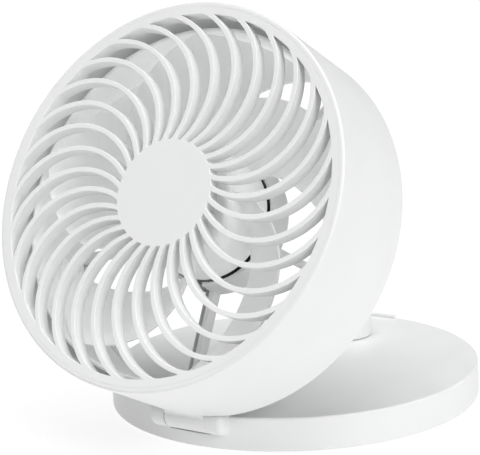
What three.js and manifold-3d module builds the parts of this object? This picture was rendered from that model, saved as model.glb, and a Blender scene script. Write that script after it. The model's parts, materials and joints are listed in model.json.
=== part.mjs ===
// Folding desk fan: a round base holding the battery, and a drum-shaped fan head
// that opens on a hinge at the front edge of the base.
//
// Millimetres, +Z up. The origin is the centre of the base's underside, +X is the
// right-hand side for someone facing the fan, and the fan blows towards -Y.
// The head is built in its closed position, lying face up on the base with its
// axis along +Z, and then turned open about the hinge.

import * as THREE from 'three';
import { mergeVertices } from 'three/addons/utils/BufferGeometryUtils.js';
import Module from 'manifold-3d';

const wasm = await Module();
wasm.setup();

// ---------------------------------------------------------------- dimensions

const FIT = 0.3;                  // gap between pieces that touch
const SINK = 0.5;                 // how far joined shapes run into each other
const PAST = 1;                   // how far a cutting shape runs past a face
const ROUND = 60;                 // sides of a large circle
const MEDIUM = 24;                // sides of a circle a few centimetres across
const SMALL = 12;                 // sides of a screw, pin or hole
const OPEN_ANGLE = 62.65;         // degrees from closed to the position shown

const BASE = { radius: 75, top: 13.9, wall: 2, roof: 2, foot: 0.8, edge: 0.6 };
const COVER = { bottom: 1.3, thickness: 2, boss: 3.2, bossRadius: 60, bossHole: 10.6 };
const PAD = { radius: 66, thickness: 1 };

const HEAD = { radius: 73.8, depth: 46.3, wall: 2, edge: 0.8, closedGap: 1 };
const DUCT = { inner: 66.4, outer: 67.9, front: 35, flange: 1.2 };
const GRILLE = { depth: 5.6, opening: 68.8, hub: 20.25, ribs: 30, ribWidth: 1.9 };
const RIB_ARC = { x: 36.8, y: 23.2, radius: 29.4 };

const HINGE = { y: -73.7, z: 11.5, barrel: 5, relief: 5.4, pin: 1.5, pinHalf: 15.3 };
const HINGE_BLOCK = { halfWidth: 18.5, inner: 66.2, bottom: 4.2 };
const KNUCKLE = { middle: 9.05, inner: 9.45, outer: 16.7, dome: 0.7 };
const PLUG = { x0: -16.5, x1: -15.6, radius: 2.5 };
const BUSH = { outer: 2.7, inner: HINGE.pin + FIT, x0: KNUCKLE.inner + FIT, x1: 14.5 };

const KNOB = { y: 41.5, radius: 11.5, height: 9, edge: 1, cap: 2.7, shaft: 3 };
const POINTER = { halfWidth: 0.6, inner: 3.5, outer: 9.5, depth: 0.5 };
const LATCH = { y0: 71.8, y1: 73.6, halfWidth: 7.5, height: 1.6, gap: 0.8 };

const BATTERY = { halfX: 38, halfY: 23, corner: 4, y: -8, thickness: 7.2 };
const BOARD = { halfWidth: 17, y0: 28, y1: 69, bottom: 4.4, top: 5.6, boss: 2.4 };
const BOARD_SCREWS = [[-12.5, 33], [12.5, 33]];
const ENCODER = { half: 6.2, floor: 7, top: 10.4 };
const SOCKET = { halfWidth: 4.5, y0: 66.5, y1: 74.4, bottom: 5.9, top: 9.1, wall: 0.4 };
const TONGUE = { halfWidth: 3.3, halfHeight: 0.35, setBack: 1.2 };
const LIGHT = { x: 10.5, z: 7.5, radius: 1, y0: 68, y1: 74 };
const SIDE_HOLES = { y0: 70, y1: 80 };

const CUP = { rear: 27.2, front: 26.2, wall: 1.6, bottom: 0.8, top: 11.6, edge: 0.5 };
const FLOOR = CUP.bottom + 2;     // inner floor of the motor cup
const FLANGE = { inner: 65.2, top: 2, edge: 0.4 };
const SPOKES = { count: 5, first: -90, end: 65.9, top: 6 };
const PLAIN_SPOKE = { left: -1.6, right: 1.6 };
const LEAD_SPOKE = { left: -1.7, wall: 1.7, right: 3.8 };
const FOOT_END = 68.5;            // how far out a spoke's foot reaches
const CABLE = { width: 2.4, height: 1.2, inner: 22.6, outer: 65.6 };
const PILLAR = { radius: 69.6, inner: 68.3, halfWidth: 2.2, top: 12, hole: 10.5 };

const WHEEL = { hub: 24.2, wall: 1.5, roof: 2.2, front: 38.8, rear: 12.6, edge: 2, bevel: 0.6 };
const BOSS = { radius: 5, bottom: 29.4, cap: 1.6 };
const BLADES = { count: 5, thickness: 1.6, tip: 65.25, phase: 156, front: 36.5 };
const BLADE_ROOT = WHEEL.hub + FIT;
const SWEEP = { steady: 39, towardsTip: 20 };
const SPAN = { root: 39.4, growth: 3.6, bulge: 10 };
const REAR_EDGE = { root: 14.8, rise: 3.7 };
const CAMBER = 1.5;               // 1 for a flat blade, more for one steeper in front

const MOTOR = { shaft: 1.5, shaftRear: 5.4, stator: 14, can: 17.5 };
const TUBE = { outer: 4.6, bore: 3.4, top: 26, flange: 9, thickness: 1.6 };
const BEARINGS = { front: 21.5, rear: 6.5, height: 4 };
const STACK = { bottom: 13, top: 23 };
const WINDING = { inner: 6, outer: 13, bulge: 0.8, rear: 10, front: 26 };
const CAN = { top: BOSS.bottom - FIT, bottom: 13, wall: 0.9 };
const MAGNET = { gap: 0.6, bottom: 13.4, top: 26 };
const PCB = { radius: 22, hole: 9.4, bottom: FLOOR + 1.4, thickness: 1.2 };
const CLIP = { radius: 2.8, bottom: 5.5, thickness: 0.6 };

const CORNER_ANGLES = [45, 135, 225, 315];
const MOTOR_SCREWS = { radius: 7, angles: [90, 210, 330] };
const COVER_SCREW = { head: 2.2, headHeight: 1, shank: 0.9, length: 6.6 };
const BOARD_SCREW = { head: 1.9, headHeight: 0.6, shank: 0.8, length: 5 };
const REAR_SCREW = { head: 1.3, headHeight: 0.9, shank: 0.75, length: 7 };
const MOTOR_SCREW = { head: 1.6, headHeight: 0.6, shank: 0.5, length: 2.2 };
const REAR_SCREW_BOTTOM = 0.2;
const MOTOR_SCREW_BOTTOM = CUP.bottom + 0.1;

// ------------------------------------------------------------------ materials

function plastic(color, roughness = 0.45) {
  return new THREE.MeshStandardMaterial({ color, roughness, metalness: 0 });
}

function metal(color, roughness = 0.35) {
  return new THREE.MeshStandardMaterial({ color, roughness, metalness: 1 });
}

const white = () => plastic(0xf1f2f2);
const steel = () => metal(0xb9bdc2);
const acetal = () => plastic(0x55595e, 0.4);
const copper = () => metal(0xb56a3a);
const circuitBoard = () => plastic(0x17191a, 0.5);
const rubber = () => plastic(0x6f7275, 0.8);
const batteryFilm = () => plastic(0x8fa3b5, 0.4);
const black = () => plastic(0x1f2023, 0.5);
const clear = () => plastic(0xf4f7fa, 0.2);
const brass = () => metal(0xc9a55c);
const laminations = () => metal(0x8a8d90, 0.5);
const ferrite = () => plastic(0x3a3c40, 0.5);

// -------------------------------------------------------------- solid helpers

// Turns a closed geometry into a manifold solid with its faces pointing out.
function solid(geometry) {
  const clean = geometry.clone();
  clean.deleteAttribute('normal');
  clean.deleteAttribute('uv');
  const merged = mergeVertices(clean, 1e-4);
  const index = Array.from(merged.index.array);
  const triangles = [];
  for (let i = 0; i < index.length; i += 3) {
    const [a, b, c] = index.slice(i, i + 3);
    if (a !== b && b !== c && c !== a) triangles.push(a, b, c);
  }
  const vertProperties = new Float32Array(merged.attributes.position.array);
  if (signedVolume(vertProperties, triangles) < 0) triangles.reverse();
  const triVerts = new Uint32Array(triangles);
  return new wasm.Manifold(new wasm.Mesh({ numProp: 3, vertProperties, triVerts }));
}

function signedVolume(points, triangles) {
  const corner = [new THREE.Vector3(), new THREE.Vector3(), new THREE.Vector3()];
  let volume = 0;
  for (let i = 0; i < triangles.length; i += 3) {
    corner.forEach((v, k) => v.fromArray(points, 3 * triangles[i + k]));
    volume += corner[0].dot(corner[1].clone().cross(corner[2])) / 6;
  }
  return volume;
}

function join(...parts) {
  return parts.reduce((whole, part) => whole.add(part));
}

function cut(body, ...tools) {
  return tools.reduce((whole, tool) => whole.subtract(tool), body);
}

function toMesh(name, body, material) {
  const mesh = body.getMesh();
  const geometry = new THREE.BufferGeometry();
  geometry.setAttribute('position', new THREE.BufferAttribute(mesh.vertProperties, 3));
  geometry.setIndex(new THREE.BufferAttribute(mesh.triVerts, 1));
  geometry.computeVertexNormals();
  const result = new THREE.Mesh(geometry, material);
  result.name = name;
  return result;
}

// A profile of [radius, z] points turned about the Z axis. It starts and ends on the
// axis.
function turned(profile, sides = ROUND) {
  const points = profile.map(([r, z]) => new THREE.Vector2(r, z));
  const geometry = new THREE.LatheGeometry(points, sides);
  geometry.rotateX(Math.PI / 2);
  return solid(geometry);
}

// The same for a profile that stays clear of the axis and closes on itself.
function ring(profile, sides = ROUND) {
  return turned([...profile, profile[0]], sides);
}

function disc(radius, bottom, top, sides = ROUND) {
  return turned([[0, bottom], [radius, bottom], [radius, top], [0, top]], sides);
}

function tube(inner, outer, bottom, top, sides = ROUND) {
  return ring([[inner, bottom], [outer, bottom], [outer, top], [inner, top]], sides);
}

// A block between two opposite corners.
function block(x0, x1, y0, y1, z0, z1) {
  const geometry = new THREE.BoxGeometry(x1 - x0, y1 - y0, z1 - z0);
  geometry.translate((x0 + x1) / 2, (y0 + y1) / 2, (z0 + z1) / 2);
  return solid(geometry);
}

// A round bar along X.
function barX(radius, x0, x1, y, z, sides = MEDIUM) {
  const geometry = new THREE.CylinderGeometry(radius, radius, x1 - x0, sides);
  geometry.rotateZ(Math.PI / 2);
  geometry.translate((x0 + x1) / 2, y, z);
  return solid(geometry);
}

function outline(points, depth, holes = []) {
  const shape = new THREE.Shape(points);
  shape.holes = holes.map((hole) => new THREE.Path(hole));
  return solid(new THREE.ExtrudeGeometry(shape, { depth, bevelEnabled: false }));
}

function polar(radius, degrees) {
  const angle = THREE.MathUtils.degToRad(degrees);
  return new THREE.Vector2(radius * Math.cos(angle), radius * Math.sin(angle));
}

function circle(radius, sides) {
  return Array.from({ length: sides }, (_, i) => polar(radius, i * 360 / sides));
}

function moved(body, x, y, z = 0) {
  return body.translate([x, y, z]);
}

function turnedBy(body, degrees) {
  return body.rotate([0, 0, degrees]);
}

// One copy of a solid at each angle, at the given distance from the Z axis.
function around(body, radius, angles) {
  return angles.map((angle) => {
    const place = polar(radius, angle);
    return moved(body, place.x, place.y);
  });
}

// A self-tapping screw standing on its head, its head starting at height z.
function screwBody({ head, headHeight, shank, length }, z) {
  const rim = 0.6;                // share of the head's height that is straight
  const shankTop = z + headHeight + length;
  return turned([
    [0, z],
    [head, z],
    [head, z + headHeight * rim],
    [shank, z + headHeight],
    [shank, shankTop - shank],
    [0, shankTop],
  ], SMALL);
}

// Cutting shapes for a screw's shank and head, open at the bottom.
function shankHole(screw, top) {
  return disc(screw.shank + FIT, -PAST, top, SMALL);
}

function headRecess(screw, top) {
  return disc(screw.head + FIT, -PAST, top, SMALL);
}

// --------------------------------------------------------------------- base

const ROOF_UNDERSIDE = BASE.top - BASE.roof;
const COVER_TOP = COVER.bottom + COVER.thickness;

function atBoardScrews(body) {
  return BOARD_SCREWS.map(([x, y]) => moved(body, x, y));
}

// The fixed knuckle at one end of the hinge, its outer end stepped in like a dome.
function endKnuckle(side) {
  const shoulder = KNUCKLE.outer - KNUCKLE.dome;
  const between = (from, to) => [side * from, side * to].sort((a, b) => a - b);
  return join(
    barX(HINGE.barrel, ...between(KNUCKLE.inner, shoulder), HINGE.y, HINGE.z),
    barX(HINGE.barrel - KNUCKLE.dome, ...between(shoulder - SINK, KNUCKLE.outer),
      HINGE.y, HINGE.z),
  );
}

// The roof and side wall, open below.
function baseShell() {
  const inner = BASE.radius - BASE.wall;
  return turned([
    [0, BASE.top],
    [BASE.radius - BASE.edge, BASE.top],
    [BASE.radius, BASE.top - BASE.edge],
    [BASE.radius, BASE.foot],
    [inner, BASE.foot],
    [inner, ROOF_UNDERSIDE],
    [0, ROOF_UNDERSIDE],
  ]);
}

// The bores for the pin, its two bushes and the plug that closes one end.
function hingeBores() {
  const { pin, pinHalf, y, z } = HINGE;
  return [
    barX(pin + FIT, PLUG.x0 - PAST, pinHalf + FIT, y, z, SMALL),
    barX(BUSH.outer + FIT, -BUSH.x1 - FIT, BUSH.x1 + FIT, y, z, SMALL),
    barX(PLUG.radius + FIT, PLUG.x0 - PAST, PLUG.x1 + FIT, y, z, SMALL),
  ];
}

// The room that the head's middle knuckle needs, open to the front and the top.
function knuckleRoom() {
  const reach = KNUCKLE.inner;
  const { y, z, relief } = HINGE;
  return [
    barX(relief, -reach, reach, y, z),
    block(-reach, reach, -BASE.radius - relief, y, z - relief, BASE.top + PAST),
    block(-reach, reach, y, y + relief, z, BASE.top + PAST),
  ];
}

function baseTopShell() {
  const hingeBlock = block(-HINGE_BLOCK.halfWidth, HINGE_BLOCK.halfWidth, -BASE.radius,
    -HINGE_BLOCK.inner, HINGE_BLOCK.bottom, BASE.top - SINK)
    .intersect(disc(BASE.radius - SINK, 0, BASE.top));
  const coverBoss = disc(COVER.boss, COVER_TOP + FIT, ROOF_UNDERSIDE + SINK, SMALL);
  const boardBoss = disc(BOARD.boss, BOARD.top + FIT, ROOF_UNDERSIDE + SINK, SMALL);
  const latch = block(-LATCH.halfWidth, LATCH.halfWidth, LATCH.y0, LATCH.y1,
    BASE.top - SINK, BASE.top + LATCH.height);
  const body = join(
    baseShell(),
    hingeBlock,
    endKnuckle(1),
    endKnuckle(-1),
    latch,
    ...around(coverBoss, COVER.bossRadius, CORNER_ANGLES),
    ...atBoardScrews(boardBoss),
  );
  const { halfWidth, bottom, top } = SOCKET;
  return cut(
    body,
    ...knuckleRoom(),
    ...hingeBores(),
    ...around(shankHole(COVER_SCREW, COVER.bossHole), COVER.bossRadius, CORNER_ANGLES),
    ...atBoardScrews(shankHole(BOARD_SCREW, ROOF_UNDERSIDE - PAST)),
    moved(disc(KNOB.shaft + FIT, ROOF_UNDERSIDE - PAST, BASE.top + PAST, SMALL), 0, KNOB.y),
    block(-halfWidth - FIT, halfWidth + FIT, SIDE_HOLES.y0, SIDE_HOLES.y1,
      bottom - FIT, top + FIT),
    lightPipe(LIGHT.radius + FIT, SIDE_HOLES.y0, SIDE_HOLES.y1),
  );
}

function baseBottomCover() {
  const plate = disc(BASE.radius - BASE.wall - FIT, COVER.bottom, COVER_TOP);
  const hole = shankHole(COVER_SCREW, COVER_TOP + PAST);
  const recess = headRecess(COVER_SCREW, COVER.bottom + COVER_SCREW.headHeight);
  return cut(
    plate,
    ...around(hole, COVER.bossRadius, CORNER_ANGLES),
    ...around(recess, COVER.bossRadius, CORNER_ANGLES),
  );
}

// A flat cell with rounded corners, lying on the bottom cover.
function batteryPack() {
  const { halfX, halfY, corner, y, thickness } = BATTERY;
  const corners = [[1, 1, 0], [-1, 1, 90], [-1, -1, 180], [1, -1, 270]];
  const points = corners.flatMap(([sx, sy, start]) => {
    const centre = new THREE.Vector2(sx * (halfX - corner), sy * (halfY - corner));
    return [0, 30, 60, 90].map((step) => polar(corner, start + step).add(centre));
  });
  return moved(outline(points, thickness), 0, y, COVER_TOP + FIT);
}

function controlBoard() {
  const board = block(-BOARD.halfWidth, BOARD.halfWidth, BOARD.y0, BOARD.y1,
    BOARD.bottom, BOARD.top);
  return cut(board, ...atBoardScrews(shankHole(BOARD_SCREW, BOARD.top + PAST)));
}

function speedEncoder() {
  const { half, floor, top } = ENCODER;
  const body = block(-half, half, KNOB.y - half, KNOB.y + half, BOARD.top + FIT, top);
  return cut(body, moved(disc(KNOB.shaft + FIT, floor, top + PAST, SMALL), 0, KNOB.y));
}

function usbSocket() {
  const { halfWidth, y0, y1, bottom, top, wall } = SOCKET;
  const middle = (bottom + top) / 2;
  const shell = block(-halfWidth, halfWidth, y0, y1, bottom, top);
  const mouth = block(-halfWidth + wall, halfWidth - wall, y0 + PAST, y1 + PAST,
    bottom + wall, top - wall);
  const tongue = block(-TONGUE.halfWidth, TONGUE.halfWidth, y0 + SINK, y1 - TONGUE.setBack,
    middle - TONGUE.halfHeight, middle + TONGUE.halfHeight);
  return join(cut(shell, mouth), tongue);
}

// A round bar along Y at the charge light's place.
function lightPipe(radius, y0, y1) {
  const pipe = new THREE.CylinderGeometry(radius, radius, y1 - y0, SMALL);
  pipe.translate(LIGHT.x, (y0 + y1) / 2, LIGHT.z);
  return solid(pipe);
}

function hingeBush(side) {
  const x0 = side > 0 ? BUSH.x0 : -BUSH.x1;
  const x1 = side > 0 ? BUSH.x1 : -BUSH.x0;
  const body = barX(BUSH.outer, x0, x1, HINGE.y, HINGE.z, SMALL);
  return cut(body, barX(BUSH.inner, x0 - PAST, x1 + PAST, HINGE.y, HINGE.z, SMALL));
}

function hingePin() {
  return barX(HINGE.pin, -HINGE.pinHalf, HINGE.pinHalf, HINGE.y, HINGE.z, SMALL);
}

function hingePlug() {
  return barX(PLUG.radius, PLUG.x0, PLUG.x1, HINGE.y, HINGE.z, SMALL);
}

function addCopies(group, name, bodies, material = steel) {
  bodies.forEach((body, i) => group.add(toMesh(`${name}_${i + 1}`, body, material())));
}

function addBase(group) {
  const pad = disc(PAD.radius, 0, PAD.thickness);
  const light = lightPipe(LIGHT.radius, LIGHT.y0, LIGHT.y1);
  const coverScrew = screwBody(COVER_SCREW, COVER.bottom);
  const boardScrew = screwBody(BOARD_SCREW, COVER_TOP + FIT);
  group.add(toMesh('base_top_shell', baseTopShell(), white()));
  group.add(toMesh('base_bottom_cover', baseBottomCover(), white()));
  group.add(toMesh('base_pad', pad, rubber()));
  group.add(toMesh('battery_pack', batteryPack(), batteryFilm()));
  group.add(toMesh('control_board', controlBoard(), circuitBoard()));
  group.add(toMesh('speed_encoder', speedEncoder(), black()));
  group.add(toMesh('usb_socket', usbSocket(), steel()));
  group.add(toMesh('charge_light', light, clear()));
  group.add(toMesh('hinge_pin', hingePin(), steel()));
  group.add(toMesh('hinge_bush_left', hingeBush(-1), acetal()));
  group.add(toMesh('hinge_bush_right', hingeBush(1), acetal()));
  group.add(toMesh('hinge_plug', hingePlug(), white()));
  addCopies(group, 'base_screw', around(coverScrew, COVER.bossRadius, CORNER_ANGLES));
  addCopies(group, 'board_screw', atBoardScrews(boardScrew));
}

// --------------------------------------------------------------------- knob

function speedKnob() {
  const bottom = BASE.top + FIT;
  const top = bottom + KNOB.height;
  const body = turned([
    [0, bottom],
    [KNOB.radius, bottom],
    [KNOB.radius, top - KNOB.edge],
    [KNOB.radius - KNOB.edge, top],
    [0, top],
  ], MEDIUM);
  const socket = disc(KNOB.shaft + FIT, bottom - PAST, top - KNOB.cap, SMALL);
  const pointer = block(-POINTER.halfWidth, POINTER.halfWidth, POINTER.inner,
    POINTER.outer, top - POINTER.depth, top + PAST);
  return moved(cut(body, socket, pointer), 0, KNOB.y);
}

function encoderShaft() {
  const top = BASE.top + KNOB.height - KNOB.cap;
  return moved(disc(KNOB.shaft, ENCODER.floor + FIT, top, SMALL), 0, KNOB.y);
}

function addKnob(group) {
  group.add(toMesh('speed_knob', speedKnob(), white()));
  group.add(toMesh('encoder_shaft', encoderShaft(), acetal()));
}

// --------------------------------------------------------------------- head
// The head's own frame has its rear face at z = 0 and its front face at
// z = HEAD.depth, with the hinge below the rear face at the -Y edge.

const HINGE_Z = HINGE.z - (BASE.top + HEAD.closedGap);
const INNER = HEAD.radius - HEAD.wall;
const FACE = HEAD.depth;
const DUCT_BOTTOM = FLANGE.top + FIT;
const PILLAR_BOTTOM = DUCT_BOTTOM + DUCT.flange + FIT;
const LEDGE = { inner: 69.6, top: FACE - GRILLE.depth - FIT, thickness: 1.5 };
const WEB = { inner: INNER + SINK, outer: 77, top: 2.6 };

// The room that the base's two knuckles need.
function endKnuckleRoom() {
  const reach = KNUCKLE.outer + 2 * FIT;
  return barX(HINGE.relief, -reach, reach, HINGE.y, HINGE_Z);
}

// The drum's wall, with a ledge inside that the grille rests on.
function drum() {
  const { radius, edge } = HEAD;
  return ring([
    [INNER, 0],
    [radius - edge, 0],
    [radius, edge],
    [radius, FACE - edge],
    [radius - edge, FACE],
    [INNER, FACE],
    [INNER, LEDGE.top],
    [LEDGE.inner, LEDGE.top],
    [LEDGE.inner, LEDGE.top - LEDGE.thickness],
    [INNER, LEDGE.top - 2 * LEDGE.thickness],
  ]);
}

function outerHousing() {
  const pillar = block(PILLAR.inner, INNER + SINK, -PILLAR.halfWidth, PILLAR.halfWidth,
    PILLAR_BOTTOM, PILLAR.top);
  const latchRoom = block(-LATCH.halfWidth - LATCH.gap, LATCH.halfWidth + LATCH.gap,
    DUCT.inner, HEAD.radius + PAST, -PAST, LATCH.height + FIT);
  const relieved = cut(
    join(drum(), ...CORNER_ANGLES.map((angle) => turnedBy(pillar, angle))),
    endKnuckleRoom(),
    latchRoom,
    ...around(shankHole(REAR_SCREW, PILLAR.hole), PILLAR.radius, CORNER_ANGLES),
  );
  const reach = KNUCKLE.middle;
  const barrel = barX(HINGE.barrel, -reach, reach, HINGE.y, HINGE_Z);
  const web = block(-reach, reach, -WEB.outer, -WEB.inner, HINGE_Z, WEB.top);
  const bore = barX(HINGE.pin + FIT, -reach - PAST, reach + PAST, HINGE.y, HINGE_Z, SMALL);
  return cut(join(relieved, barrel, web), bore);
}

// The flat ring behind the sleeve, which the rear screws pass through.
function ductFlange() {
  const body = tube(DUCT.inner, INNER - FIT, DUCT_BOTTOM, DUCT_BOTTOM + DUCT.flange);
  const hole = shankHole(REAR_SCREW, PILLAR_BOTTOM);
  return cut(body, ...around(hole, PILLAR.radius, CORNER_ANGLES));
}

// The sleeve around the blades.
function ductSleeve() {
  return tube(DUCT.inner, DUCT.outer, DUCT_BOTTOM + DUCT.flange + FIT, DUCT.front);
}

// Outline of the opening between two neighbouring ribs. Each side of a rib is an arc
// about the same centre, and the angle at which it reaches a given distance from the
// fan's axis comes from the law of cosines.
function grilleOpening(start) {
  const centre = new THREE.Vector2(RIB_ARC.x, RIB_ARC.y);
  const offset = centre.length();
  const pointAt = (sideRadius, distance, turn) => {
    const cosine = (distance ** 2 - offset ** 2 - sideRadius ** 2)
      / (2 * offset * sideRadius);
    const angle = centre.angle() - Math.acos(cosine);
    const point = new THREE.Vector2(Math.cos(angle), Math.sin(angle));
    point.multiplyScalar(sideRadius).add(centre);
    return point.rotateAround(new THREE.Vector2(), THREE.MathUtils.degToRad(turn));
  };
  const steps = 7;
  const distances = Array.from({ length: steps + 1 },
    (_, i) => GRILLE.hub + (GRILLE.opening - GRILLE.hub) * (i / steps));
  const near = distances.map((d) =>
    pointAt(RIB_ARC.radius - GRILLE.ribWidth / 2, d, start));
  const far = distances.map((d) =>
    pointAt(RIB_ARC.radius + GRILLE.ribWidth / 2, d, start + 360 / GRILLE.ribs));
  const rimMiddle = near.at(-1).clone().add(far.at(-1)).setLength(GRILLE.opening);
  return [...near, rimMiddle, ...far.reverse()];
}

function frontGrille() {
  const holes = Array.from({ length: GRILLE.ribs },
    (_, i) => grilleOpening(i * 360 / GRILLE.ribs));
  const plate = outline(circle(INNER - FIT, ROUND), GRILLE.depth, holes);
  return moved(plate, 0, 0, FACE - GRILLE.depth);
}

function motorCup() {
  return turned([
    [0, CUP.bottom],
    [CUP.rear - CUP.edge, CUP.bottom],
    [CUP.rear, CUP.bottom + CUP.edge],
    [CUP.rear, FLOOR],
    [CUP.front, CUP.top],
    [CUP.front - CUP.wall, CUP.top],
    [CUP.rear - CUP.wall, FLOOR],
    [0, FLOOR],
  ], MEDIUM);
}

// The first spoke is wider, because the motor lead lies along its left edge.
const spokeSides = (i) => (i === 0 ? LEAD_SPOKE : PLAIN_SPOKE);
const atSpoke = (body, i) => turnedBy(body, SPOKES.first + i * 360 / SPOKES.count);

function atEverySpoke(make) {
  return Array.from({ length: SPOKES.count }, (_, i) => atSpoke(make(spokeSides(i)), i));
}

// A spoke along +X, with a thin foot that the duct's flange clamps in the rear ring.
function spoke({ left, right }) {
  const bar = block(CUP.front - PAST, SPOKES.end, left, right, CUP.bottom, SPOKES.top);
  const foot = block(SPOKES.end - SINK, FOOT_END, left, right, CUP.bottom, FLANGE.top);
  return join(bar, foot);
}

// The notch in the rear ring that a spoke's foot lies in.
function footNotch({ left, right }) {
  return block(FLANGE.inner - PAST, FOOT_END + FIT, left - FIT, right + FIT,
    CUP.bottom - FIT, FLANGE.top + PAST);
}

function rearRing() {
  const flange = ring([
    [FLANGE.inner, FLANGE.edge],
    [FLANGE.inner + FLANGE.edge, 0],
    [INNER - FIT, 0],
    [INNER - FIT, FLANGE.top],
    [FLANGE.inner, FLANGE.top],
  ]);
  const hole = shankHole(REAR_SCREW, FLANGE.top + PAST);
  const recess = headRecess(REAR_SCREW, REAR_SCREW.headHeight + FIT);
  return cut(
    flange,
    ...atEverySpoke(footNotch),
    endKnuckleRoom(),
    ...around(hole, PILLAR.radius, CORNER_ANGLES),
    ...around(recess, PILLAR.radius, CORNER_ANGLES),
  );
}

function motorMount() {
  const leadRoom = block(LEAD_SPOKE.left - FIT, LEAD_SPOKE.wall, -SPOKES.end - PAST,
    -CUP.front + 2 * CUP.wall, FLOOR, CUP.top + PAST);
  const { radius, angles } = MOTOR_SCREWS;
  const recessTop = MOTOR_SCREW_BOTTOM + MOTOR_SCREW.headHeight;
  return cut(
    join(motorCup(), ...atEverySpoke(spoke)),
    leadRoom,
    ...around(shankHole(MOTOR_SCREW, FLOOR + PAST), radius, angles),
    ...around(headRecess(MOTOR_SCREW, recessTop), radius, angles),
  );
}

// --------------------------------------------------------- motor, fixed pieces

function bearingTube() {
  const { outer, bore, top, flange, thickness } = TUBE;
  const bottom = FLOOR + FIT;
  const body = ring([
    [bore, bottom],
    [flange, bottom],
    [flange, bottom + thickness],
    [outer, bottom + thickness],
    [outer, top],
    [bore, top],
  ], MEDIUM);
  const hole = shankHole(MOTOR_SCREW, bottom + thickness - FIT);
  return cut(body, ...around(hole, MOTOR_SCREWS.radius, MOTOR_SCREWS.angles));
}

// One side of a stator tooth, from the hub outwards, as [radius, degrees from the
// middle of the tooth].
const TOOTH_SIDE = [[7, 24], [8, 14], [11.6, 11], [12.2, 24], [MOTOR.stator, 25],
  [MOTOR.stator, 12]];

function statorCore() {
  const teeth = 6;
  const points = [];
  for (let i = 0; i < teeth; i += 1) {
    const middle = i * 360 / teeth;
    TOOTH_SIDE.forEach(([r, angle]) => points.push(polar(r, middle - angle)));
    points.push(polar(MOTOR.stator, middle));
    TOOTH_SIDE.toReversed().forEach(([r, angle]) => points.push(polar(r, middle + angle)));
  }
  const hole = circle(TUBE.outer + FIT, MEDIUM);
  return moved(outline(points, STACK.top - STACK.bottom, [hole]), 0, 0, STACK.bottom);
}

function winding(bottom, top) {
  const { inner, outer, bulge } = WINDING;
  return ring([
    [inner, bottom],
    [outer - bulge, bottom],
    [outer, (bottom + top) / 2],
    [outer - bulge, top],
    [inner, top],
  ], MEDIUM);
}

function motorBoard() {
  return tube(PCB.hole, PCB.radius, PCB.bottom, PCB.bottom + PCB.thickness, MEDIUM);
}

function motorCable() {
  const bottom = FLOOR + FIT;
  return block(-CABLE.width / 2, CABLE.width / 2, -CABLE.outer, -CABLE.inner, bottom,
    bottom + CABLE.height);
}

function bearing(bottom) {
  return tube(MOTOR.shaft + FIT, TUBE.bore - FIT, bottom, bottom + BEARINGS.height, MEDIUM);
}

function addHead(group) {
  const windingFront = winding(STACK.top + FIT, WINDING.front);
  const windingRear = winding(WINDING.rear, STACK.bottom - FIT);
  const rearScrew = screwBody(REAR_SCREW, REAR_SCREW_BOTTOM);
  const motorScrew = screwBody(MOTOR_SCREW, MOTOR_SCREW_BOTTOM);
  const { radius, angles } = MOTOR_SCREWS;
  group.add(toMesh('outer_housing', outerHousing(), white()));
  group.add(toMesh('duct_sleeve', ductSleeve(), white()));
  group.add(toMesh('duct_flange', ductFlange(), white()));
  group.add(toMesh('front_grille', frontGrille(), white()));
  group.add(toMesh('rear_ring', rearRing(), white()));
  group.add(toMesh('motor_mount', motorMount(), white()));
  group.add(toMesh('bearing_tube', bearingTube(), brass()));
  group.add(toMesh('bearing_front', bearing(BEARINGS.front), steel()));
  group.add(toMesh('bearing_rear', bearing(BEARINGS.rear), steel()));
  group.add(toMesh('stator_core', statorCore(), laminations()));
  group.add(toMesh('winding_front', windingFront, copper()));
  group.add(toMesh('winding_rear', windingRear, copper()));
  group.add(toMesh('motor_board', motorBoard(), circuitBoard()));
  group.add(toMesh('motor_cable', motorCable(), rubber()));
  addCopies(group, 'rear_screw', around(rearScrew, PILLAR.radius, CORNER_ANGLES));
  addCopies(group, 'motor_screw', around(motorScrew, radius, angles));
}

// ---------------------------------------------------------------------- wheel

// At a share s of the way from a blade's root to its tip: how far the front edge lags
// behind the root, how much of the circle the blade spans, and the rear edge's height.
const sweep = (s) => SWEEP.steady * s + SWEEP.towardsTip * s ** 3;
const span = (s) => SPAN.root + SPAN.growth * s + SPAN.bulge * Math.sin(Math.PI * s);
const rearEdge = (s) => REAR_EDGE.root + REAR_EDGE.rise * s;

// How far the blade has dropped from its front edge to its rear edge, at a share of
// the way along the chord: steep at the front and flat at the rear.
const drop = (chord) => 1 - (1 - chord) ** CAMBER;

// A blade is a thin slab bent into shape: x runs along the chord, y through the
// thickness and z from root to tip, each from -0.5 to 0.5.
function blade() {
  const stepsAlong = 6;
  const stepsOut = 5;
  const geometry = new THREE.BoxGeometry(1, 1, 1, stepsAlong, 1, stepsOut);
  const position = geometry.attributes.position;
  for (let i = 0; i < position.count; i += 1) {
    const chord = THREE.MathUtils.clamp(position.getX(i) + 0.5, 0, 1);
    const s = THREE.MathUtils.clamp(position.getZ(i) + 0.5, 0, 1);
    const radius = BLADE_ROOT + (BLADES.tip - BLADE_ROOT) * s;
    const place = polar(radius, BLADES.phase - sweep(s) - span(s) * chord);
    const middle = BLADES.front - (BLADES.front - rearEdge(s)) * drop(chord);
    position.setXYZ(i, place.x, place.y, middle + position.getY(i) * BLADES.thickness);
  }
  return solid(geometry);
}

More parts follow.
